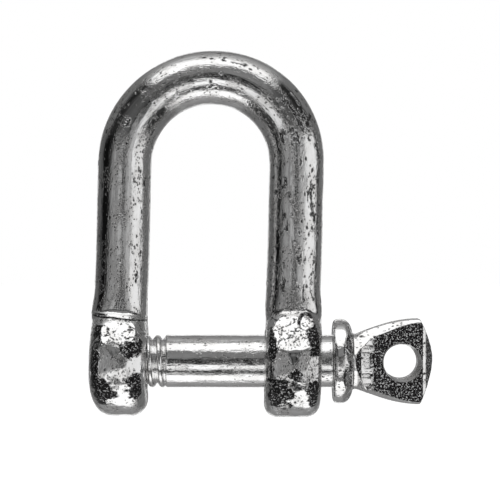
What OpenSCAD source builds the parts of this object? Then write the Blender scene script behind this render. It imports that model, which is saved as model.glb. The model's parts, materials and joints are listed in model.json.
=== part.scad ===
// Dee shackle with a screw pin, for a load line or chain.
// The bow stands with its crown up. The origin is on the pin's axis, midway between the ears,
// +X runs along the pin towards its flat head, and +Z runs towards the crown.
// The pin is drawn backed off by about one turn, as a shackle is left on the shelf.

/* [Bow] */
// Diameter of the bar that the bow is bent from
bar_d = 9.2; // [8.8:0.1:9.6]
// Clear gap between the two ears
jaw_w = 20; // [19:0.5:24]
// Height of the crown's centre above the pin's axis
leg_h = 33.8; // [28:0.2:45]

/* [Ears] */
// Thickness of each ear, measured along the pin
ear_w = 9.8; // [9.6:0.1:11]
// Diameter of the ears' round ends
ear_d = 19.4; // [18:0.1:22]
// Radius that rounds the edges of the ears
ear_round = 3.6; // [2:0.1:4]
// Radius of the fillets that blend each leg into its ear
neck_fillet = 9; // [6:0.5:12]

/* [Pin] */
// Diameter of the pin's plain shank
pin_d = 9; // [8:0.1:9]
// Clearance around the shank in the plain ear, on the radius
shank_gap = 0.25; // [0.15:0.05:0.4]
// Gap between the plain ear and the pin's collar, with the pin backed off
collar_gap = 1.9; // [0.5:0.1:3]
// Length of the plain shank inside the gap, from its shoulder to the plain ear
shank_in_gap = 16.75; // [14:0.25:18]
// How far the end of the pin stops short of the threaded ear's outer face
end_short = 1.2; // [0.5:0.1:2.5]
// Length of the chamfered point that leads the thread
point_len = 1.6; // [1:0.1:2]

/* [Thread] */
// Pitch of the right-hand thread
pitch = 1.75; // [1.5:0.05:2]
// Depth of the rounded thread, from crest to root
thread_depth = 0.68; // [0.5:0.02:0.8]
// Clearance between the pin's thread and the ear's, on the radius
thread_gap = 0.18; // [0.15:0.01:0.22]

/* [Collar] */
// Diameter of the pin's collar
collar_d = 14.5; // [12.5:0.1:16]
// Thickness of the collar
collar_w = 3.4; // [3:0.1:4]

/* [Head] */
// Distance from the collar's outer face to the tip of the head
head_len = 13.7; // [12.5:0.1:15]
// Height of the head at its widest, across the corners
head_h = 14.6; // [13.5:0.1:15]
// Thickness of the head's flat plate
plate_t = 5; // [4:0.1:6]
// Diameter of the neck between the collar and the head
neck_d = 9.7; // [9:0.1:10]
// Diameter of the eye through the head
eye_d = 5.8; // [4:0.1:6]
// Distance from the eye's centre to the tip of the head
eye_back = 5.55; // [5:0.05:6.5]

/* [Hidden] */

zinc = [0.78, 0.79, 0.8];
worn_zinc = [0.7, 0.71, 0.73];

lap = 0.3;                                // how far joined shapes of one solid run into each other
over = 0.5;                               // how far a cutting shape runs past what it cuts
leg_set = 0.1;                            // the legs stand this far outside the ears' inner faces
neck_inset = 0.05;                        // each ear's neck is this far inside the ear's faces

ear_in = jaw_w / 2;                       // inner face of an ear
ear_out = ear_in + ear_w;                 // outer face of an ear
bend_r = ear_in + leg_set + bar_d / 2;    // radius of the bar's centre line round the crown
shoulder_x = ear_in - shank_in_gap;       // where the thread ends and the plain shank begins
collar_x = ear_out + collar_gap;          // inner face of the collar
neck_x = collar_x + collar_w;             // outer face of the collar
tip_x = neck_x + head_len;                // rounded tip of the head
eye_x = tip_x - eye_back;                 // centre of the eye
end_x = -ear_out + end_short;             // far end of the pin
thread_x = end_x + point_len;             // where the point ends and the thread begins
collar_round = collar_w / 2 - 0.1;        // radius that rounds the collar's rims

head_block = 20;                          // more than the head's height and thickness
corner_back = 2.4;                        // how far the head's corners lie behind its domed tip
corner_x = tip_x - corner_back;
flank_x = neck_x + 0.8;                   // where the head's flanks begin to spread
flank_steps = 8;                          // straight stretches along each flank
flat_from = 1.4;                          // the neck stays round this far from the collar
flat_to = 3.4;                            // and is flattened to the plate by here
neck_spread = 14;                         // how much the cone that rounds the neck grows by the tip
eye_chamfer = 0.2;                        // chamfer round each mouth of the eye

crest_r = pin_d / 2 - 0.03;               // the rolled crests stand just inside the shank
thread_mid_r = crest_r - thread_depth / 2;
thread_facets = 24;                       // sides of the thread's cross-section
turn_slices = 16;                         // slices in each turn of the thread
point_r = crest_r - thread_depth - 0.1;   // the point is a little thinner than the thread's roots
point_chamfer = 0.8;                      // chamfer at the pin's far end

// Turns a shape made along +Z so that it runs along +X
module along_x() {
    rotate([0, 90, 0]) children();
}

// Round bar along X
module bar_x(x0, x1, r) {
    translate([x0, 0, 0]) along_x() cylinder(h = x1 - x0, r = r, $fn = 96);
}

// Cone along X, from radius r0 at x0 to radius r1 at x1
module cone_x(x0, x1, r0, r1) {
    translate([x0, 0, 0]) along_x() cylinder(h = x1 - x0, r1 = r0, r2 = r1, $fn = 96);
}

// Disc along X with its rims rounded by r_edge, cut as a turned profile
module round_disc(x0, x1, r, r_edge) {
    translate([x0, 0, 0]) along_x() rotate_extrude($fn = 128) {
        square([r - r_edge, x1 - x0]);
        translate([0, r_edge]) square([r, x1 - x0 - 2 * r_edge]);
        for (z = [r_edge, x1 - x0 - r_edge])
            intersection() {
                translate([r - r_edge, z]) circle(r = r_edge, $fn = 64);
                square([r, x1 - x0]);
            }
    }
}

// Threaded rod along X. A slightly eccentric outline turns once in each pitch,
// so its surface is a rounded right-hand thread. Its phase depends only on x, so a rod
// and a tapped hole made with different lengths still mesh.
module threaded_rod(x0, x1, gap) {
    turns = (x1 - x0) / pitch;
    translate([x0, 0, 0]) along_x() rotate([0, 0, 360 * x0 / pitch])
        linear_extrude(height = x1 - x0, twist = -360 * turns, slices = ceil(turns * turn_slices))
            polygon([for (i = [0:thread_facets - 1])
                let (a = 360 * i / thread_facets, r = thread_mid_r + gap + thread_depth / 2 * cos(a))
                r * [cos(a), sin(a)]]);
}

// Neck: the leg flares with a round fillet until it meets the ear's disc, no wider than the ear
module neck(leg_x, mid) {
    disc_r = ear_d / 2;
    fillet_r = bar_d / 2 + neck_fillet;
    fillet_z = sqrt(pow(disc_r + neck_fillet, 2) - pow(fillet_r, 2));
    meet_r = disc_r * fillet_r / (disc_r + neck_fillet);
    intersection() {
        translate([leg_x, 0, 0]) rotate_extrude($fn = 128) difference() {
            square([meet_r, fillet_z]);
            translate([fillet_r, fillet_z]) circle(r = neck_fillet, $fn = 128);
        }
        translate([mid - ear_w / 2 + neck_inset, -disc_r, 0])
            cube([ear_w - 2 * neck_inset, ear_d, fillet_z]);
    }
}

// One leg with its ear, on side -1 or 1
module leg_and_ear(side) {
    leg_x = side * bend_r;
    mid = side * (ear_in + ear_w / 2);
    translate([leg_x, 0, 0]) cylinder(h = leg_h, r = bar_d / 2, $fn = 96);
    round_disc(mid - ear_w / 2, mid + ear_w / 2, ear_d / 2, ear_round);
    neck(leg_x, mid);
}

// Bow: a bar bent into a dee, with a tapped ear at -X and a plain ear at +X
module bow() {
    color(worn_zinc) difference() {
        union() {
            translate([0, 0, leg_h]) rotate([90, 0, 0]) rotate_extrude(angle = 180, $fn = 128)
                translate([bend_r, 0]) circle(d = bar_d, $fn = 96);
            leg_and_ear(-1);
            leg_and_ear(1);
        }
        bar_x(ear_in - over, ear_out + over, pin_d / 2 + shank_gap);
        threaded_rod(-ear_out - over, -ear_in + over, thread_gap);
    }
}

// Half the head's height at a distance x from the origin: its flanks spread fast, then level off
function head_half(x) =
    let (t = min(1, max(0, (x - flank_x) / (corner_x - flank_x))))
    neck_d / 2 + (head_h - neck_d) / 2 * (1 - pow(1 - t, 2));

// Face outline of the head, in X and Z: curved flanks, two corners and a domed end
module head_face() {
    dome_r = (pow(head_h / 2, 2) + pow(corner_back, 2)) / (2 * corner_back);
    flank = [for (i = [0:flank_steps]) flank_x + (corner_x - flank_x) * i / flank_steps];
    intersection() {
        polygon([
            [neck_x, -neck_d / 2], for (x = flank) [x, -head_half(x)], [tip_x, -head_h / 2],
            [tip_x, head_h / 2], for (i = [flank_steps:-1:0]) [flank[i], head_half(flank[i])],
            [neck_x, neck_d / 2]]);
        translate([tip_x - dome_r, 0]) circle(r = dome_r, $fn = 256);
    }
}

// Edge outline of the head, in X and Y: the round neck is flattened to the plate
module head_edge() {
    polygon([
        [neck_x, -neck_d / 2], [neck_x + flat_from, -neck_d / 2],
        [neck_x + flat_to, -plate_t / 2], [tip_x + over, -plate_t / 2],
        [tip_x + over, plate_t / 2], [neck_x + flat_to, plate_t / 2],
        [neck_x + flat_from, neck_d / 2], [neck_x, neck_d / 2]]);
}

// Pin head: the round neck on the collar, flattened into a plate with a chamfered eye
module pin_head() {
    color(zinc) difference() {
        intersection() {
            rotate([90, 0, 0]) linear_extrude(head_block, center = true) head_face();
            linear_extrude(head_block, center = true) head_edge();
            cone_x(neck_x, tip_x + over, neck_d / 2, neck_d / 2 + neck_spread);
        }
        translate([eye_x, 0, 0]) rotate([90, 0, 0]) {
            cylinder(h = head_block, d = eye_d, center = true, $fn = 96);
            for (s = [-1, 1]) translate([0, 0, s * (plate_t / 2 - eye_chamfer)])
                rotate([s > 0 ? 0 : 180, 0, 0])
                    cylinder(h = 2 * eye_chamfer, d1 = eye_d, d2 = eye_d + 4 * eye_chamfer, $fn = 96);
        }
    }
}

// Screw pin: its thread, plain shank and collar. The head and the point are forged on its two ends.
module screw_pin() {
    color(zinc) {
        threaded_rod(thread_x, shoulder_x + lap, 0);
        bar_x(shoulder_x, collar_x + lap, pin_d / 2);
        round_disc(collar_x, neck_x, collar_d / 2, collar_round);
    }
}

// Pin point: the short unthreaded end of the same pin, chamfered so that it finds the tapped hole
module pin_point() {
    color(zinc) {
        cone_x(end_x, end_x + point_chamfer, point_r - point_chamfer, point_r);
        bar_x(end_x + point_chamfer, thread_x, point_r);
    }
}

bow();
screw_pin();
pin_head();
pin_point();
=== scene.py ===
"""Looks of the dee shackle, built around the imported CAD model.

Each forging is described by a field that is negative inside the metal, in millimetres.
The field is meshed, the mesh is drawn onto the field's zero level, and its rough forged skin, flats and
marks are then worked into it.
"""
import itertools
import json
import math

import bpy
import numpy as np
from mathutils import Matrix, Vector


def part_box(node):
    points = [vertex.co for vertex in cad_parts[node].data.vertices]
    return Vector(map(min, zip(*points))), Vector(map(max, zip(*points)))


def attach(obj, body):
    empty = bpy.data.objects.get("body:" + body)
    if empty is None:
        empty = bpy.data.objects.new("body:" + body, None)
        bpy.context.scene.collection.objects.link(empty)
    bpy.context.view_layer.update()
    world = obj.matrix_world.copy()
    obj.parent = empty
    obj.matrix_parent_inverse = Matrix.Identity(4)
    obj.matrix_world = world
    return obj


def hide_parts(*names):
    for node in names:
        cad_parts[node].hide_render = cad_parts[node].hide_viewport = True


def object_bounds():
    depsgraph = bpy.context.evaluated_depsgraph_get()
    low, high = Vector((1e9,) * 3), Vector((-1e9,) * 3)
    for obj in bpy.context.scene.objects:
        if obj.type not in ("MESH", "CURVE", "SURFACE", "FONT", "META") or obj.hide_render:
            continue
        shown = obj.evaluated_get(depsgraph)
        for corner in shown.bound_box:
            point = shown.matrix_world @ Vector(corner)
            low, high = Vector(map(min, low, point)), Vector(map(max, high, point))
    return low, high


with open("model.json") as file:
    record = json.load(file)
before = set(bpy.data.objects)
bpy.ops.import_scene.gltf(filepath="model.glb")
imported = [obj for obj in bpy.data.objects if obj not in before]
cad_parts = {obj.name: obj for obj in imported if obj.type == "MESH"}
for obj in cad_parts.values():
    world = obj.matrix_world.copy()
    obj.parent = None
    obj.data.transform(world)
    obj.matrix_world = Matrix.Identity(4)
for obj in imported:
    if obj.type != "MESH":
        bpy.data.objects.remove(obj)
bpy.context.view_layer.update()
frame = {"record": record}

MM = 0.001
record = frame["record"]
mounts = {m["name"]: m for m in record["mounts"]}


# ---------------------------------------------------------------- sizes, in millimetres

def box_mm(node):
    """Lowest and highest corner of a CAD node."""
    return [np.array(corner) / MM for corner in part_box(node)]


bow_lo, bow_hi = box_mm("bow")
rod_lo, rod_hi = box_mm("screw_pin")
head_lo, head_hi = box_mm("pin_head")
pin_lo, pin_hi = np.minimum(rod_lo, head_lo), np.maximum(rod_hi, head_hi)
point_lo, point_hi = box_mm("pin_point")

EAR_IN = mounts["load_pin"]["dims"]["length_mm"] / 2
EAR_OUT = bow_hi[0]
EAR_R = -bow_lo[2]
CROWN_IN = mounts["crown_seat"]["dims"]["r_mm"]
CROWN_Z = mounts["crown_seat"]["pos_m"][2] / MM - CROWN_IN
BAR_R = (bow_hi[2] - CROWN_Z - CROWN_IN) / 2
BEND_R = CROWN_IN + BAR_R
EAR_MID = (EAR_IN + EAR_OUT) / 2
EAR_HALF = (EAR_OUT - EAR_IN) / 2
TAPPED_LESS = 0.05               # the tapped ear is forged this much thinner on each face,
TAPPED_LOW = 0.25                # its round end this much smaller,
TAPPED_SHIFT = 0.15              # it stands this much to the right,
TAPPED_SWAY = 0.7                # and its lower end this much more
EAR_ROUND = 3.4
EAR_SQUARE = 0.8                 # the plain ear's lower corners are this much less round
LEAN = 0.021                     # the bow leans a little on its pin, in mm of x for each mm of z,
LEG_SHIFT = 0.16                 # and its legs stand this much to the right of its ears
EAR_TO_BAR = (6.5, 13)           # heights between which an ear runs out into its leg
SWAY_DEPTH = (3, 10)             # depths below the pin's axis between which the tapped ear sways

PIN_R = mounts["load_pin"]["dims"]["r_mm"]
BORE_R = PIN_R + 0.25
PITCH = 1.75
THREAD_DEPTH = 0.7
THREAD_GAP = 0.12
CREST_X = -8.17                  # where a crest of the thread passes over the top of the pin
SHOULDER_X = -6.75
COLLAR_GAP = 1.9                 # the pin is backed off, so its collar stands this far from the plain ear
COLLAR_IN = EAR_OUT + COLLAR_GAP
COLLAR_OUT = COLLAR_IN + 3.4
COLLAR_R = rod_hi[1]
NECK_R = 4.85

EYE_X = mounts["pin_eye"]["pos_m"][0] / MM
EYE_R = mounts["pin_eye"]["dims"]["r_mm"]
PLATE_HALF = mounts["pin_eye"]["dims"]["length_mm"] / 2 + 0.2
TIP_X = head_hi[0]
HEAD_HALF = head_hi[2]


# ---------------------------------------------------------------- fields

def soft_min(a, b, k):
    """Smaller of two fields, blended with a fillet about k wide."""
    h = np.clip(0.5 + 0.5 * (b - a) / k, 0, 1)
    return b + (a - b) * h - k * h * (1 - h)


def soft_max(a, b, k):
    """Larger of two fields, with the edge between them rounded."""
    return -soft_min(-a, -b, k)


def smooth_step(x, low, high):
    t = np.clip((x - low) / (high - low), 0, 1)
    return t * t * (3 - 2 * t)


def rounded(outline, across, edge):
    """Solid whose outline and thickness fields meet in a rounded edge."""
    u, v = outline + edge, across + edge
    return np.hypot(np.maximum(u, 0), np.maximum(v, 0)) + np.minimum(np.maximum(u, v), 0) - edge


def thread_radius(x, y, z):
    """Radius of the right-hand thread's surface in the direction of each point."""
    turn = np.arctan2(-y, z)
    fall = (1 - np.cos(2 * math.pi * (x - CREST_X) / PITCH - turn)) / 2
    return PIN_R - THREAD_DEPTH * fall ** 1.5


# Flats hammered clean on the ears: side of the bow, turn to the right and turn upwards of the flat as
# seen from the front, in degrees, and how deep it cuts, in mm. The backs have the other ear's flats.
EAR_FLATS = [
    (-1, 29, -4, 0.46), (-1, -10, 4, 0.46), (-1, 4, -37, 0.40), (-1, 2, 33, 0.36),
    (1, -2, 33, 0.74), (1, -12, 3, 0.46), (1, 31, -7, 0.42), (1, 8, 2, 0.36), (1, 9, -42, 0.38),
]

# Dark, coarse patches on the ears: coarse scale, and painted shade where they lie along the ears' side
# edges and over their lower halves, standing in for the dark reflections there. Side of the bow, place to
# the right of the ear's middle and upwards, and half their width and height, in mm. The backs have the
# other ear's patches.
EAR_SCALE_AND_SHADE = [
    (-1, -3.7, -1.4, 1.0, 4.2), (-1, 2.6, 2.7, 2.1, 1.4), (-1, 3.3, -3.9, 1.4, 2.6),
    (-1, -2.4, -4.8, 1.9, 2.6), (-1, -3.1, 5.4, 1.3, 1.5),
    (1, -3.7, 3.6, 0.9, 3.4), (1, 3.5, 3.6, 1.2, 3.0), (1, -2.4, -5.2, 2.3, 2.6),
    (1, 3.4, -4.8, 1.4, 2.6), (1, 0.2, -1.9, 1.6, 0.9),
]

# Marks on the ears' fronts, in mm. The parting ridge and the scar both fall to the right.
RIDGE_Z = 7.95                     # height of the ridge in the middle of the tapped ear
RIDGE_FALL = 0.10                  # how much it falls for each mm to the right
SCAR_AT = (12.6, -2.9)             # a point of the scar across the plain ear, in x and z
SCAR_FALL = 0.12
SCAR_FROM, SCAR_TO = 10.4, 14.4    # its two ends, in x
DIMPLE_X, DIMPLE_Z = 17.0, 7.1     # middle of the plain ear's round dimple


def tapped_sway(z):
    """How far the lower end of the tapped ear stands to the right."""
    return TAPPED_SWAY * smooth_step(-z, *SWAY_DEPTH)


def seen_side(x, y):
    """Ear whose marks a point has, -1 the tapped one or 1 the plain one. The backs have them swapped."""
    return np.sign(x) * np.where(y > 0, -1, 1)


def cut_flats(points, slope):
    """Points with the flats cut into them."""
    x, y, z = points.T
    side = np.sign(x)
    seen_as = seen_side(x, y)
    sway = TAPPED_SHIFT + tapped_sway(z)
    up_the_leg = 40 * smooth_step(z, 8, 14)
    deepest = np.full(len(points), -1.0)
    for flat_side, right, up, depth in EAR_FLATS:
        a, b = math.radians(right), math.radians(up)
        nx, ny, nz = math.sin(a) * math.cos(b), math.cos(a) * math.cos(b), math.sin(b)
        reach = EAR_ROUND + abs(nx) * (EAR_HALF - EAR_ROUND) + math.hypot(ny, nz) * (EAR_R - EAR_ROUND)
        low = TAPPED_LOW * math.hypot(ny, nz) * (side < 0)
        right_of_mid = x - side * EAR_MID - sway * (side < 0)
        past = nx * right_of_mid + ny * np.abs(y) + nz * z - reach + low + depth - up_the_leg
        lean = nx * slope[:, 0] + ny * np.abs(slope[:, 1]) + nz * slope[:, 2]
        past = np.where((seen_as == flat_side) & (lean > 0.5), past / np.maximum(lean, 0.5), -1)
        deepest = np.maximum(deepest, past)
    return points - slope * soft_max(deepest, 0, 0.12)[:, None]


def ear_scale_and_shade(points):
    """How deep each point lies in a dark patch of its ear, from 0 to 1: coarse scale, and painted shade
    along the ears' edges and lower halves.
    """
    x, y, z = points.T
    seen_as = seen_side(x, y)
    right = x - np.sign(x) * EAR_MID
    shade = np.zeros(len(points))
    for patch_side, across, up, half_width, half_height in EAR_SCALE_AND_SHADE:
        blob = np.exp(-((right - across) / half_width) ** 2 - ((z - up) / half_height) ** 2)
        shade = np.maximum(shade, blob * (seen_as == patch_side))
    ragged = 0.30 * noise(points, 0.9, 10) + 0.25 * noise(points, 0.45, 11)
    return smooth_step(shade + ragged, 0.30, 0.62)


def bow_field(x, y, z):
    """Bar bent into a dee, thickened into an ear at each end."""
    lean_x = x - LEAN * z - LEG_SHIFT * smooth_step(z, 8, 20)
    tapped_move = TAPPED_SHIFT * smooth_step(-z, -9, -5) + tapped_sway(z)
    lean_x = lean_x - tapped_move * (x < 0)
    ax = np.abs(lean_x)
    worked = 1 - smooth_step(z, *EAR_TO_BAR)
    mid = BEND_R + (EAR_MID - BEND_R) * worked
    half = BAR_R + (EAR_HALF - TAPPED_LESS * (lean_x < 0) - BAR_R) * worked
    edge = BAR_R - 0.02 + (EAR_ROUND - BAR_R) * worked - EAR_SQUARE * smooth_step(-z, 1, 6) * (x > 0)
    disc = np.hypot(y, z) - EAR_R + TAPPED_LOW * (lean_x < 0)
    strip = np.maximum(np.abs(y) - BAR_R, -z)
    outline = soft_min(disc, strip, 0.7)
    legs = rounded(outline, np.abs(ax - mid) - half, edge)
    crown = np.hypot(np.hypot(lean_x, z - CROWN_Z) - BEND_R, y) - BAR_R
    body = np.where(z < CROWN_Z, legs, crown)
    bore = np.hypot(y, z) - BORE_R
    tapped = (np.hypot(y, z) - thread_radius(x, y, z) - THREAD_GAP) * 0.7
    countersink = np.hypot(y, z) - BORE_R - 0.35 + EAR_HALF - np.abs(np.abs(x) - EAR_MID)
    hole = np.minimum(np.where(x > 0, bore, tapped), countersink)
    return soft_max(body, -hole, 0.25)


# The neck is pressed flat in steps: distance from the collar, and half the thickness there
PRESSED = [(0.35, NECK_R + 0.1), (1.35, 3.95), (2.9, 2.85), (3.8, PLATE_HALF + 0.04), (4.1, PLATE_HALF)]
FACE_END = 2.0                     # the flat face stops this far short of the head's tip
# From there the nose falls away: distance from the face's end, and half the thickness
NOSE = [(0, PLATE_HALF), (0.7, PLATE_HALF - 0.42), (FACE_END, 0.4)]
TIP_Z = 0.6                        # the head's end was cropped with its tip a little off the axis
FLANK_FROM = 0.9                   # the flanks spread from here, measured from the collar,
CORNER_BACK = 2.5                  # to the corners, this far short of the tip
# Bevels of the plate's rims: weights of height and of thickness in their slope, width at the neck, and
# how much narrower they are at the nose
UPPER_BEVEL = (0.57, 0.82, 1.65, 0.95)
LOWER_BEVEL = (0.86, 0.50, 0.95, 0.55)
SINK_DEPTH = 1.3                   # the eye's front is countersunk this deep, widening by SINK_WIDE,
SINK_WIDE = 0.36                   # off-centre by as much to the right
SINK_DOWN = 0.26                   # and by this much downwards


def head_field(x, y, z):
    """Neck flattened into the head's plate, with bevelled rims, a blunt nose and the eye through it."""
    t = np.clip((x - COLLAR_OUT - FLANK_FROM) / (TIP_X - CORNER_BACK - COLLAR_OUT - FLANK_FROM), 0, 1)
    half_z = NECK_R + (HEAD_HALF - NECK_R) * (1 - (1 - t) ** 2) ** 1.15
    half_y = np.interp(x - COLLAR_OUT, *zip(*PRESSED))
    from_face = x - TIP_X + FACE_END
    half_y = np.where(from_face > 0, np.interp(from_face, *zip(*NOSE)), half_y)
    spread = smooth_step(x, COLLAR_OUT + 0.5, COLLAR_OUT + 3)
    narrowing = smooth_step(x, COLLAR_OUT + 4, TIP_X - 2)
    rims = []
    for up, (height, thickness, width, narrower) in ((z, UPPER_BEVEL), (-z, LOWER_BEVEL)):
        inset = (width - narrower * narrowing) * spread
        rims.append(height * (up - half_z + inset) + thickness * (np.abs(y) - half_y))
    bevel = np.where(z > 0, *rims)
    sides = soft_max((np.abs(z) - half_z) * 0.8, np.abs(y) - half_y, 0.10)
    sides = soft_max(sides, np.where(spread > 0, bevel, -1), 0.25)
    off = np.abs(z - TIP_Z) / (HEAD_HALF - TIP_Z * np.sign(z - TIP_Z))
    end = x - TIP_X + 2.3 * off ** 1.6
    # The round neck widens like a cone, slower where it was hammered towards eight sides
    from_neck = np.maximum(x - COLLAR_OUT - 0.6, 0)
    round_neck = np.hypot(y, z) - NECK_R - 0.5 * from_neck
    growth = np.where(z > 0, 0.03 * from_neck + np.maximum(from_neck - 3.3, 0), 0.6 * from_neck)
    octagon = 0.79 * np.abs(y) + 0.61 * np.abs(z) - NECK_R + 0.32 - growth
    round_neck = soft_max(round_neck, octagon, 0.15)
    plate = soft_max(soft_max(sides, round_neck, 0.10), end, 0.15)
    sunk = np.clip((-y - PLATE_HALF + SINK_DEPTH) / SINK_DEPTH, 0, 1)
    sink = np.hypot(x - EYE_X - SINK_WIDE * sunk, z + SINK_DOWN * sunk) - EYE_R - SINK_WIDE * sunk
    chamfer = np.maximum(np.abs(y) - PLATE_HALF + 0.3, 0)
    eye = np.minimum(sink, np.hypot(x - EYE_X, z) - EYE_R - chamfer)
    return soft_max(plate, -eye, 0.16)


# Flats struck on the collar's rim: direction round the pin and tilt to the head, in degrees, and depth
COLLAR_FLATS = [
    (-60, 40, 0.30), (-25, 42, 0.25), (24, 50, 0.28), (40, 0, 0.18), (-40, 0, 0.14), (118, 30, 0.12),
    (160, 45, 0.2), (205, 38, 0.25), (250, 45, 0.2), (-42, -20, 0.08), (20, -25, 0.08),
]
COLLAR_ROUND = 0.85                # edge of the collar's face on the ear's side
COLLAR_DOME = 2.0                  # length of the rounded fall on the head's side


def collar_field(x, y, z):
    """Collar, flat towards the ear and domed towards the head, with hammer flats on its rim."""
    radial = np.hypot(y, z)
    top = COLLAR_OUT - COLLAR_DOME
    face = rounded(radial - COLLAR_R, COLLAR_IN - x, COLLAR_ROUND)
    fall = COLLAR_R - NECK_R + 0.3
    along, outwards = np.maximum(x - top, 0) / COLLAR_DOME, np.maximum(radial - COLLAR_R + fall, 0) / fall
    dome = (np.hypot(along, outwards) - 1) * COLLAR_DOME
    disc = np.where(x < top, face, dome)
    for around, tilt, depth in COLLAR_FLATS:
        a, b = math.radians(around), math.radians(tilt)
        out = -math.cos(a) * y + math.sin(a) * z
        cut = math.cos(b) * out + math.sin(b) * (x - top)
        bulge = math.hypot(math.cos(b) * fall, math.sin(b) * COLLAR_DOME)
        reach = math.cos(b) * (COLLAR_R - fall) + bulge
        if tilt < 0:
            reach = math.cos(b) * COLLAR_R + math.sin(b) * (COLLAR_IN - top) - 0.1
        disc = soft_max(disc, cut - (reach - depth), 0.2)
    return disc


def pin_field(x, y, z):
    """Screw pin: thread, shank, collar and head."""
    radial = np.hypot(y, z)
    thread = (radial - thread_radius(x, y, z)) * 0.7
    thread = np.maximum(thread, np.maximum(pin_lo[0] - x, x - SHOULDER_X - 0.5))
    shank_half = (COLLAR_OUT - SHOULDER_X) / 2
    shank = rounded(radial - PIN_R, np.abs(x - (SHOULDER_X + COLLAR_OUT) / 2) - shank_half, 0.3)
    rod = soft_min(thread, shank, 0.15)
    # The head runs on a little into the collar
    head = np.maximum(head_field(x, y, z), COLLAR_OUT - 0.6 - x)
    return soft_min(soft_min(rod, collar_field(x, y, z), 0.25), head, 0.25)


def point_field(x, y, z):
    """Chamfered end of the pin."""
    radial = np.hypot(y, z)
    r = point_hi[2]
    taper = radial - r + np.maximum(point_lo[0] + 0.8 - x, 0)
    return soft_max(taper, np.maximum(point_lo[0] - x, x - point_hi[0]), 0.08)


# ---------------------------------------------------------------- meshing

CORNERS = np.array(list(itertools.product((0, 1), repeat=3)))
EDGES = [
    (a, b) for a, b in itertools.combinations(range(8), 2)
    if np.abs(CORNERS[a] - CORNERS[b]).sum() == 1
]
BOW_CELL = 0.21                    # size of the meshes' cells, in mm
PIN_CELL = 0.16


def gradient(field, p, step):
    """Slope of a field at each point."""
    columns = []
    for axis in range(3):
        shift = np.zeros(3)
        shift[axis] = step
        columns.append(field(*(p + shift).T) - field(*(p - shift).T))
    return np.stack(columns, 1) / (2 * step)


def surface(field, low, high, cell):
    """Points and four-sided faces of a field's zero level, with a point in each cell it crosses."""
    axes = [np.arange(a - 2.5 * cell, b + 2.5 * cell, cell) for a, b in zip(low, high)]
    values = field(*np.meshgrid(*axes, indexing="ij"))
    inside = values < 0
    size = np.array(values.shape) - 1
    filled = np.zeros(size, np.int8)
    for corner in CORNERS:
        filled += inside[tuple(slice(c, c + n) for c, n in zip(corner, size))]
    crossed = (filled > 0) & (filled < 8)
    cells = np.argwhere(crossed)
    number = np.full(size, -1)
    number[crossed] = np.arange(len(cells))
    at = np.stack([values[tuple((cells + corner).T)] for corner in CORNERS])
    total, count = np.zeros((len(cells), 3)), np.zeros(len(cells))
    for a, b in EDGES:
        cut = (at[a] < 0) != (at[b] < 0)
        t = np.where(cut, at[a] / np.where(cut, at[a] - at[b], 1), 0)[:, None]
        total += np.where(cut[:, None], CORNERS[a] + t * (CORNERS[b] - CORNERS[a]), 0)
        count += cut
    points = np.array([a[0] for a in axes]) + cell * (cells + total / count[:, None])
    faces = []
    for d in range(3):
        u, v = np.eye(3, dtype=int)[(d + 1) % 3], np.eye(3, dtype=int)[(d + 2) % 3]
        step = np.eye(3, dtype=int)[d]
        n = np.array(inside.shape) - step
        first = inside[tuple(slice(0, k) for k in n)]
        second = inside[tuple(slice(s, s + k) for s, k in zip(step, n))]
        g = np.argwhere(first != second)
        ring = np.stack([number[tuple((g - shift).T)] for shift in (0 * u, u, u + v, v)], 1)
        out = first[tuple(g.T)]
        faces.append(np.where(out[:, None], ring, ring[:, ::-1]))
    faces = np.concatenate(faces)
    for _ in range(3):
        slope = gradient(field, points, 0.2 * cell)
        move = field(*points.T)[:, None] * slope / np.maximum((slope ** 2).sum(1), 0.2)[:, None]
        points -= np.clip(move, -0.5 * cell, 0.5 * cell)
    return points, faces


def noise(points, size, seed):
    """Smooth noise from -1 to 1 that changes over about size, in mm, which can be one for each axis."""
    lattice = np.random.default_rng(seed).uniform(-1, 1, (32, 32, 32))
    scaled = points / size + 100
    base = np.floor(scaled).astype(int)
    t = scaled - base
    t = t * t * (3 - 2 * t)
    total = np.zeros(len(points))
    for corner in CORNERS:
        weight = np.prod(np.where(corner, t, 1 - t), axis=1)
        total += weight * lattice[tuple(((base + corner) % 32).T)]
    return total


def make_piece(name, points, faces, attributes):
    """Blender object from points in millimetres, with an attribute for each entry of attributes."""
    mesh = bpy.data.meshes.new(name)
    mesh.vertices.add(len(points))
    mesh.vertices.foreach_set("co", (points * MM).astype(np.float32).ravel())
    mesh.loops.add(faces.size)
    mesh.loops.foreach_set("vertex_index", faces.astype(np.int32).ravel())
    mesh.polygons.add(len(faces))
    mesh.polygons.foreach_set("loop_start", np.arange(0, faces.size, 4, dtype=np.int32))
    mesh.update(calc_edges=True)
    mesh.shade_smooth()
    for key, values in attributes.items():
        kind, field = ("FLOAT", "value") if values.ndim == 1 else ("FLOAT_VECTOR", "vector")
        data = mesh.attributes.new(key, kind, "POINT").data
        data.foreach_set(field, values.astype(np.float32).ravel())
    piece = bpy.data.objects.new(name, mesh)
    bpy.context.scene.collection.objects.link(piece)
    return piece


def unbend(points):
    """Place of each point on the bow's bar laid out straight: along it, then across it twice."""
    x, y, z = points.T
    lean_x = x - LEAN * z
    swing = np.arctan2(z - CROWN_Z, np.abs(lean_x))
    on_leg = z < CROWN_Z
    along = np.where(on_leg, z - CROWN_Z, BEND_R * swing)
    out = np.where(on_leg, np.abs(lean_x), np.hypot(lean_x, z - CROWN_Z)) - BEND_R
    side = np.sign(lean_x)
    return np.stack([side * (along - BEND_R * math.pi / 2), y, out], 1)


# ---------------------------------------------------------------- materials

def material(name):
    """Empty material, its node tree, and its shader."""
    made = bpy.data.materials.new(name)
    made.use_nodes = True
    return made, made.node_tree, made.node_tree.nodes["Principled BSDF"]


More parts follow.
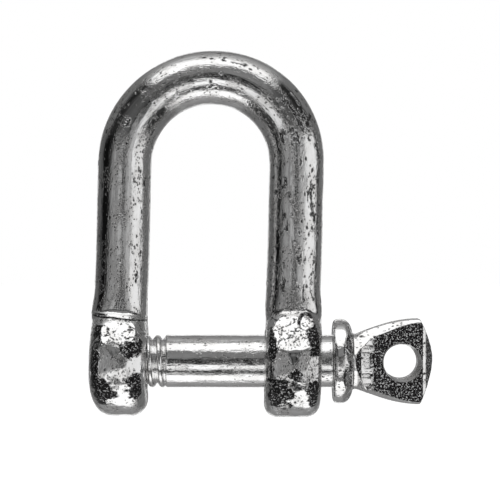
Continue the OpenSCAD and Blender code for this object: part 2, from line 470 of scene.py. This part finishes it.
class Nodes:
    """Short names for the shader nodes used here. Each method returns an output socket."""

    def __init__(self, tree):
        self.tree = tree

    def add(self, kind, inputs=(), **settings):
        node = self.tree.nodes.new("ShaderNode" + kind)
        for key, value in settings.items():
            setattr(node, key, value)
        for key, value in dict(inputs).items():
            self.put(node.inputs[key], value)
        return node

    def put(self, socket, value):
        if isinstance(value, bpy.types.NodeSocket):
            self.tree.links.new(value, socket)
        else:
            socket.default_value = value

    def math(self, operation, a, b=0.0, c=0.0):
        return self.add("Math", {0: a, 1: b, 2: c}, operation=operation).outputs[0]

    def scale(self, vector, factors):
        return self.add("VectorMath", {0: vector, 1: factors}, operation="MULTIPLY").outputs[0]

    def noise(self, vector, scale, detail=3.0, roughness=0.55):
        inputs = {"Vector": vector, "Scale": scale, "Detail": detail, "Roughness": roughness}
        return self.add("TexNoise", inputs).outputs["Fac"]

    def remap(self, value, low, high, to_low=0.0, to_high=1.0):
        inputs = {"Value": value, "From Min": low, "From Max": high, "To Min": to_low, "To Max": to_high}
        return self.add("MapRange", inputs, interpolation_type="SMOOTHSTEP").outputs[0]

    def curve(self, radians, points):
        """Level at an angle, from points of (degrees, level) joined by straight lines."""
        share = self.math("MULTIPLY_ADD", radians, 0.5 / math.pi, 0.5)
        node = self.add("FloatCurve", {"Value": share})
        line = node.mapping.curves[0]
        node.mapping.use_clip = False
        for degrees, level in points[1:-1]:
            line.points.new(degrees / 360 + 0.5, level)
        line.points[0].location = (0, points[0][1])
        line.points[-1].location = (1, points[-1][1])
        for point in line.points:
            point.handle_type = "VECTOR"
        node.mapping.update()
        return node.outputs[0]

    def noise_shift(self, vector, scale, reach):
        """Places moved at random by up to about reach, which makes round shapes ragged."""
        colour = self.add("TexNoise", {"Vector": vector, "Scale": scale, "Detail": 2.0}).outputs["Color"]
        off = self.add("VectorMath", {0: colour, 1: (0.5, 0.5, 0.5)}, operation="SUBTRACT").outputs[0]
        inputs = {0: off, 1: (2 * reach, 2 * reach, 2 * reach), 2: vector}
        return self.add("VectorMath", inputs, operation="MULTIPLY_ADD").outputs[0]

    def specks(self, vector, scale, density):
        """Small round pits, 1 in their middle, in a share density of a jittered grid's cells."""
        cells = self.add("TexVoronoi", {"Vector": vector, "Scale": scale})
        draw = self.add("SeparateColor", {0: cells.outputs["Color"]}).outputs[0]
        chosen = self.remap(self.math("SUBTRACT", density, draw), -0.02, 0.04)
        return self.math("MULTIPLY", self.remap(cells.outputs["Distance"], 0.16, 0.46, 1.0, 0.0), chosen)

    def attribute(self, name, output):
        return self.add("Attribute", attribute_name=name).outputs[output]

    def blend(self, factor, a, b):
        return self.add("Mix", {0: factor, 2: a, 3: b}).outputs[0]

    def mix(self, factor, a, b):
        node = self.add("Mix", {0: factor}, data_type="RGBA")
        self.put(node.inputs[6], a)
        self.put(node.inputs[7], b)
        return node.outputs[2]


def grey(level, warmth=0.0):
    return (level * (1 + warmth), level, level * (1 - warmth), 1)


def zinc(name, bright, rough, grit, glint_from):
    """Bright zinc plate over steel, streaked along the bar, with specks where the plating is rough.

    The mesh's attribute lay holds each point's place on the straightened bar, in mm, and worked how
    coarsely it was worked, from 0 on the plain bar to 1 on a hammered or cropped face. worked also holds
    painted shade: the same dark ground laid in a crease, under a ridge, along rounded edges and in
    patches on the ears' edges and lower halves. Grains of the coarse ground glint where their noise is
    above glint_from. The plate is cleanest where lay's first number is near 0, at the top of the crown
    and on the pin's shank."""
    made, tree, shader = material(name)
    n = Nodes(tree)
    place = n.attribute("lay", "Vector")
    worked = n.attribute("worked", "Fac")
    jitter = n.noise_shift(place, 5.0, 0.16)
    streaks = n.noise(n.scale(place, (0.18, 1.0, 1.0)), 1.6, 4.0, 0.55)
    wander = n.noise(n.scale(place, (0.5, 1.0, 1.0)), 0.5, 4.0, 0.6)
    rough_place = n.math("MINIMUM", n.math("ADD", n.remap(wander, 0.45, 0.56), worked), 1.0)
    from_middle = n.math("ABSOLUTE", n.add("SeparateXYZ", {0: place}).outputs[0])
    density = n.math("MULTIPLY_ADD", rough_place, grit, 0.05)
    density = n.math("MULTIPLY", density, n.remap(from_middle, 6.0, 16.0, 0.35, 1.0))
    brushed = n.noise(n.scale(place, (0.12, 1.0, 1.0)), 5.0, 2.0, 0.6)
    specks = n.specks(n.scale(jitter, (0.5, 1.0, 1.0)), 3.2, density)
    pits = n.specks(n.scale(jitter, (0.6, 1.0, 1.0)), 1.7, n.math("MULTIPLY", density, 0.45))
    grain = n.noise(place, 4.0, 3.0, 0.6)
    granules = n.noise(jitter, 3.2, 2.0, 0.6)
    height = n.math("MULTIPLY_ADD", brushed, 0.14, n.math("MULTIPLY", streaks, 0.40))
    height = n.math("MULTIPLY_ADD", grain, n.math("MULTIPLY_ADD", rough_place, 0.20, 0.04), height)
    height = n.math("MULTIPLY_ADD", n.math("MULTIPLY", granules, worked), 3.0, height)
    height = n.math("MULTIPLY_ADD", specks, -0.40, height)
    height = n.math("MULTIPLY_ADD", pits, -0.6, height)
    bump = n.add("Bump", {"Strength": 1.0, "Distance": 0.10 * MM, "Height": height}).outputs[0]
    n.put(shader.inputs["Normal"], bump)
    tone = n.mix(n.remap(wander, 0.35, 0.65), grey(bright), grey(bright * 0.85, 0.01))
    # Dark ground with glinting grains, for coarse faces and also as painted shade where worked holds it
    ground_and_shade = n.mix(n.remap(granules, glint_from, glint_from + 0.09), grey(0.02), grey(0.8))
    fray = n.math("MULTIPLY_ADD", n.noise(place, 7.0, 2.0, 0.6), 0.8, n.math("SUBTRACT", worked, 0.4))
    tone = n.mix(n.remap(fray, 0.25, 0.55), tone, ground_and_shade)
    dark = n.math("MAXIMUM", pits, n.math("MULTIPLY", specks, 0.8))
    tone = n.mix(n.math("MULTIPLY", dark, 0.95), tone, grey(0.03))
    n.put(shader.inputs["Base Color"], tone)
    roughness = n.math("MULTIPLY_ADD", rough_place, 0.04, n.math("MULTIPLY_ADD", pits, 0.2, rough))
    n.put(shader.inputs["Roughness"], roughness)
    shader.inputs["Metallic"].default_value = 1.0
    return made


# ---------------------------------------------------------------- pieces

def unit_slope(field, points):
    """Direction out of the metal at each point."""
    slope = gradient(field, points, 0.05)
    return slope / np.maximum(np.linalg.norm(slope, axis=1), 1e-6)[:, None]


def ridge(across, width):
    """Height from 0 to 1 of a narrow ridge, from the distance across it."""
    return np.exp(-(across / width) ** 2)


def plate_scabs(x, z, lay):
    """How far the plating has flaked at each point, from 0 to 1: mostly on the right leg and shoulder."""
    scabby = smooth_step(x, 11, 15) * (1 - smooth_step(x, 17.8, 19.0)) * (1 - smooth_step(z, 44, 50))
    scabs = noise(lay, (2.2, 0.9, 0.9), 13) + noise(lay, (0.8, 0.42, 0.42), 14)
    return smooth_step(scabs - 0.55 * (1 - scabby), 0.30, 0.60)


def make_bow():
    points, faces = surface(bow_field, bow_lo, bow_hi, BOW_CELL)
    x, y, z = points.T
    lay = unbend(points)
    worked = 1 - smooth_step(z, 7.0, 9.5)
    in_hole = np.hypot(y, z) < BORE_R + 0.5
    slope = unit_slope(bow_field, points)
    facing = smooth_step(np.abs(slope[:, 1]), 0.35, 0.65)

    # Rough skin: forged ears, a drawn bar that is a little thicker on the right, and flaked plating
    forging = noise(points, 1.7, 1) * 0.11 + noise(points, 0.8, 2) * 0.04 + noise(points, 0.45, 9) * 0.02
    ripples = noise(lay, (9.0, 1.6, 1.6), 3) * 0.035 + noise(lay, (3.0, 0.7, 0.7), 4) * 0.012
    wide = 0.11 * smooth_step(x, 0, 10) * (1 - worked)
    scabs = plate_scabs(x, z, lay) * (1 - worked)
    depth = forging * worked * (0.35 + 0.65 * facing) + ripples * (1 - worked)
    depth += wide - 0.10 * worked - 0.04 - 0.09 * scabs
    rough = points + slope * np.where(in_hole, 0, depth)[:, None]
    hammered = cut_flats(rough, slope)

    # Marks: the parting ridge, the scar, the dimple and cracks near the tops of the ears
    from_ridge = z - RIDGE_Z + RIDGE_FALL * (x + EAR_MID)
    from_scar = z - SCAR_AT[1] + SCAR_FALL * (x - SCAR_AT[0])
    in_scar = (y < 0) * (x > SCAR_FROM) * (x < SCAR_TO)
    cracks = ridge(noise(points, 1.3, 17) + 0.25 * noise(points, 0.5, 18), 0.055)
    cracks *= smooth_step(z, 2.5, 4.0) * (1 - smooth_step(z, 7.6, 8.2)) * worked
    from_dimple = np.hypot(x - DIMPLE_X, z - DIMPLE_Z)
    marks = 0.26 * ridge(from_ridge, 0.22) * (0.3 + 0.7 * facing) * (x < 0)
    marks -= 0.16 * ridge(from_scar, 0.22) * in_scar
    marks -= 0.22 * (1 - smooth_step(from_dimple, 1.0, 1.3)) * (y < 0) + 0.07 * cracks
    points = np.where(in_hole[:, None], rough, hammered) + slope * np.where(in_hole, 0, marks)[:, None]

    # Dark coarse ground: a painted shadow under the ridge, dark coarse ground in the scar, painted shade
    # on the dimple's upper-left rim, and patches partly of coarse scale and partly of painted shade
    ridge_shade_and_scar = np.maximum(ridge(from_ridge + 0.40, 0.13) * (x < 0), ridge(from_scar, 0.25) * in_scar)
    # Painted shade: only the dimple's upper-left rim is darkened, as the side in shade
    upper_left = smooth_step(z - DIMPLE_Z - 0.4 * (x - DIMPLE_X), -0.3, 0.5)
    rims = ridge(from_dimple - 1.2, 0.2) * (y < 0) * upper_left
    # Dark ear patches: coarse scale, and painted shade along the ears' edges and lower halves
    ground_and_shade = ear_scale_and_shade(points) * worked * facing
    for shade in (scabs * 0.5, ridge_shade_and_scar, rims, cracks * 0.8):
        ground_and_shade = np.maximum(ground_and_shade, shade)

    piece = make_piece("forged_bow", points, faces, {"lay": lay, "worked": ground_and_shade})
    piece.data.materials.append(zinc("bow_zinc_plate", 0.86, 0.05, 0.65, 0.55))
    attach(piece, "bow")
    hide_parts("bow")


def make_pin():
    points, faces = surface(pin_field, pin_lo, pin_hi, PIN_CELL)
    x, y, z = points.T
    slope = unit_slope(pin_field, points)
    from_collar = x - COLLAR_OUT

    # Where each point is: on the collar, or on the head's pressed neck, flat face or nose
    on_head = smooth_step(from_collar, 0.9, 2.0)
    on_collar = smooth_step(x, COLLAR_IN - 0.1, COLLAR_IN + 0.1) * (1 - on_head)
    facing_out = smooth_step(np.abs(y), PLATE_HALF - 0.12, PLATE_HALF - 0.04)
    on_face = smooth_step(from_collar, 3.2, 3.8) * facing_out
    pressed = ridge(np.abs(y) - np.interp(from_collar, *zip(*PRESSED)), 0.1) * (from_collar > 0.4)
    on_slope = pressed * smooth_step(from_collar, 1.2, 1.5) * (from_collar < 3.9)
    # Painted shade: the crease where the pressed neck leaves the collar is darkened
    in_crease = pressed * (1 - smooth_step(from_collar, 1.15, 1.35))
    on_nose = smooth_step(x - TIP_X + FACE_END, 0.6, 0.8)
    lengthwise = np.abs(slope[:, 0])
    on_rounding = smooth_step(lengthwise, 0.55, 0.75) * (1 - smooth_step(lengthwise, 0.93, 0.98))

    dents = noise(points, 1.6, 5) * 0.03 * np.maximum(on_collar, on_head * 0.5)
    grain = noise(points, 0.35, 6) * 0.035 * on_face + noise(points, 0.5, 12) * 0.06 * on_nose
    scrapes = noise(points, (4.0, 4.0, 0.3), 8)
    drag = scrapes * 0.05 * on_slope
    lines = noise(points, (8.0, 0.7, 0.7), 7) * 0.010 * (1 - on_head) * (1 - on_collar)
    # Painted shade: the collar's rounded edges, turning away along the pin, are darkened in noisy patches
    collar_edge_shade = smooth_step(noise(points, 1.1, 15) + 0.5 * noise(points, 0.5, 16), -0.45, 0.1)
    collar_edge_shade *= on_rounding * on_collar
    depth = dents + grain + drag + lines - 0.03 * np.maximum(on_collar, on_head)
    points = points + slope * depth[:, None]

    wear = 0.25 + 0.5 * smooth_step(from_collar, 2.5, 3.2)
    scraped = smooth_step(scrapes, -0.1, 0.6) * on_slope * wear
    # Dark coarse ground on the head's face, the scrapes and the nose; in the crease and on the collar's
    # edges it is painted shade
    ground_and_shade = on_face
    for shade in (scraped, in_crease, on_nose * 0.5, collar_edge_shade * 0.55):
        ground_and_shade = np.maximum(ground_and_shade, shade)

    piece = make_piece("forged_screw_pin", points, faces, {"lay": points, "worked": ground_and_shade})
    piece.data.materials.append(zinc("pin_zinc_plate", 0.90, 0.04, 0.3, 0.52))
    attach(piece, "pin")
    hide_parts("screw_pin", "pin_head")
    return piece


def make_point(pin_material):
    points, faces = surface(point_field, point_lo, point_hi, PIN_CELL)
    attributes = {"lay": points, "worked": np.zeros(len(points))}
    piece = make_piece("chamfered_pin_point", points, faces, attributes)
    piece.data.materials.append(pin_material)
    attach(piece, "pin_carriage")
    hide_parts("pin_point")


# ---------------------------------------------------------------- studio

# Brightness of the studio as (angle in degrees from straight in front of the object, level).
# ROUND runs to the left (minus) and the right, OVER to the floor (minus) and the top, CORNER in between.
# The back is bright only in a narrow ring, which lights views from behind and leaves the front's rims.
ROUND = [
    (-180, 0.2), (-170, 0.2), (-166, 1.0), (-156, 1.0), (-152, 0.14), (-130, 0.13), (-112, 0.10),
    (-104, 0.06), (-99, 0.005), (-68, 0.005), (-63, 0.10), (-50, 0.22), (-36, 0.36), (-31, 0.19),
    (-25, 0.22), (-18, 0.44), (4, 0.38), (16, 0.26), (21, 0.5), (29, 0.5), (34, 0.24), (39, 0.85),
    (76, 0.92), (88, 0.85), (94, 0.35), (98, 0.02), (107, 0.02), (112, 0.16), (152, 0.16),
    (156, 1.0), (166, 1.0), (170, 0.2), (180, 0.2),
]
OVER = [
    (-180, 0.2), (-170, 0.2), (-166, 1.1), (-156, 1.1), (-152, 0.2), (-145, 0.23), (-104, 0.34),
    (-97, 0.60), (-92, 1.25), (-63, 1.25), (-56, 0.5), (-48, 0.02), (-40, 0.02), (-35, 0.6),
    (-32, 1.15), (-19, 1.1), (-13, 0.3), (-9, 0.0), (9, 0.0), (13, 0.10), (22, 0.23), (42, 0.20),
    (46, 0.10), (50, 1.25), (86, 1.3), (91, 0.9), (96, 0.30), (103, 0.6), (112, 0.34), (145, 0.18),
    (152, 0.16), (156, 1.2), (166, 1.2), (170, 0.2), (180, 0.2),
]
CORNER = [
    (-180, 0.2), (-170, 0.2), (-164, 0.7), (-154, 0.17), (-100, 0.15), (-90, 0.02), (-70, 0.03),
    (-50, 0.06), (-41, 0.8), (-22, 0.8), (-15, 0.10), (0, 0.05), (20, 0.10), (50, 0.07), (62, 0.04),
    (70, 0.02), (88, 0.02), (98, 0.17), (154, 0.17), (164, 0.7), (170, 0.2), (180, 0.2),
]
FLOOR_DROP = 0.030                 # height of the object above the floor, in metres
FLOOR_HALF = 3.0                   # half the floor's width


def make_dome():
    """Studio of soft boxes and dark cards, as the metal sees it. The camera sees plain white instead."""
    world = bpy.data.worlds.new("studio_dome")
    bpy.context.scene.world = world
    world.use_nodes = True
    tree = world.node_tree
    n = Nodes(tree)
    direction = n.add("TexCoord").outputs["Generated"]
    x, y, z = n.add("SeparateXYZ", {0: direction}).outputs[:3]
    away = n.math("ARCCOSINE", n.math("MULTIPLY", y, -1.0))
    along_x = n.math("MULTIPLY", away, n.math("SIGN", x))
    along_z = n.math("MULTIPLY", away, n.math("SIGN", z))
    reach = n.math("SQRT", n.math("ADD", n.math("MULTIPLY", x, x), n.math("MULTIPLY_ADD", z, z, 1e-6)))
    upright = n.math("DIVIDE", n.math("ABSOLUTE", z), reach)
    level = n.curve(along_z, CORNER)
    level = n.blend(n.remap(upright, 0.24, 0.42, 1.0, 0.0), level, n.curve(along_x, ROUND))
    level = n.blend(n.remap(upright, 0.76, 0.88), level, n.curve(along_z, OVER))
    level = n.blend(n.add("LightPath").outputs["Is Camera Ray"], level, 1.0)
    background = tree.nodes["Background"]
    n.put(background.inputs["Color"], (1, 1, 1, 1))
    n.put(background.inputs["Strength"], level)


def make_floor():
    """Wide pale floor well below the object, bright enough to run into the white behind it."""
    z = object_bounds()[0][2] - FLOOR_DROP
    half = FLOOR_HALF
    corners = [(-half, -half, z), (half, -half, z), (half, half, z), (-half, half, z)]
    mesh = bpy.data.meshes.new("floor")
    mesh.from_pydata(corners, [], [(0, 1, 2, 3)])
    floor = bpy.data.objects.new("floor", mesh)
    bpy.context.scene.collection.objects.link(floor)
    made, _, shader = material("pale_floor")
    shader.inputs["Base Color"].default_value = (0.8, 0.8, 0.8, 1)
    shader.inputs["Roughness"].default_value = 0.9
    shader.inputs["Emission Color"].default_value = (1, 1, 1, 1)
    shader.inputs["Emission Strength"].default_value = 0.7
    mesh.materials.append(made)
    floor.visible_glossy = False


# The camera looks straight at the shackle, level with the middle of its height
CAMERA_AIM = (7.6 * MM, 0.0, 19.0 * MM)
CAMERA_BACK = 0.350
VIEW_WIDTH = 85.5 * MM
SENSOR = 36.0


def make_camera():
    data = bpy.data.cameras.new("camera")
    data.sensor_width = SENSOR
    data.lens = SENSOR * CAMERA_BACK / VIEW_WIDTH
    data.clip_start, data.clip_end = 0.01, 20
    camera = bpy.data.objects.new("camera", data)
    bpy.context.scene.collection.objects.link(camera)
    camera.location = (CAMERA_AIM[0], CAMERA_AIM[1] - CAMERA_BACK, CAMERA_AIM[2])
    camera.rotation_euler = (math.pi / 2, 0, 0)
    bpy.context.scene.camera = camera


scene = bpy.context.scene
scene.view_settings.view_transform = "Standard"

make_camera()
make_bow()
pin = make_pin()
make_point(pin.data.materials[0])
make_dome()
make_floor()
